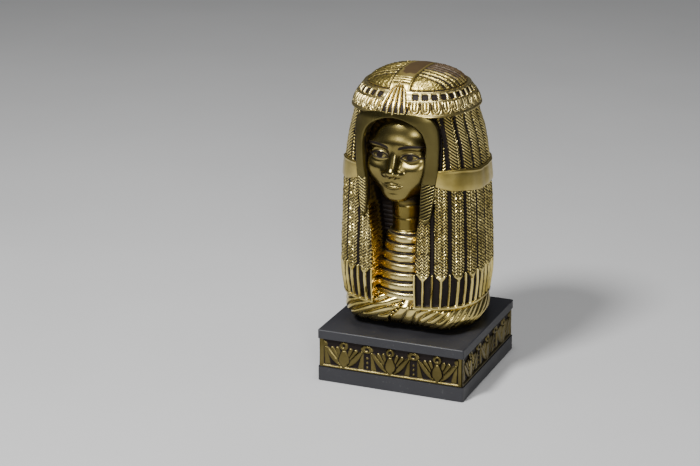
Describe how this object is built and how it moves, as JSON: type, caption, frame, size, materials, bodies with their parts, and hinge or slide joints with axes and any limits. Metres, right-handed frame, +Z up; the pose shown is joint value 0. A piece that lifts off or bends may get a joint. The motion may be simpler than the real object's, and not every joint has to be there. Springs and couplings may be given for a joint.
{
  "type": "queen statue",
  "caption": "Desk bust of a queen in a long braided wig with a flower diadem, gilt, on a square black plinth with lotus strips round it.",
  "frame": {"origin": "middle of the plinth's underside", "axes": "+Z up, -Y the way the face looks, +X to the right of someone who looks at the face"},
  "size_m": [0.064, 0.064, 0.1307],
  "materials": {
    "antique_gilt": "gilt over a cast, polished on the high points, with a dark brown wash left in the recesses",
    "matte_black": "matte black lacquer with slightly rounded edges"
  },
  "bodies": {
    "root": {"bust": "antique_gilt", "plinth": "matte_black", "frieze_front": "antique_gilt", "frieze_right": "antique_gilt", "frieze_back": "antique_gilt", "frieze_left": "antique_gilt"}
  },
  "joints": []
}
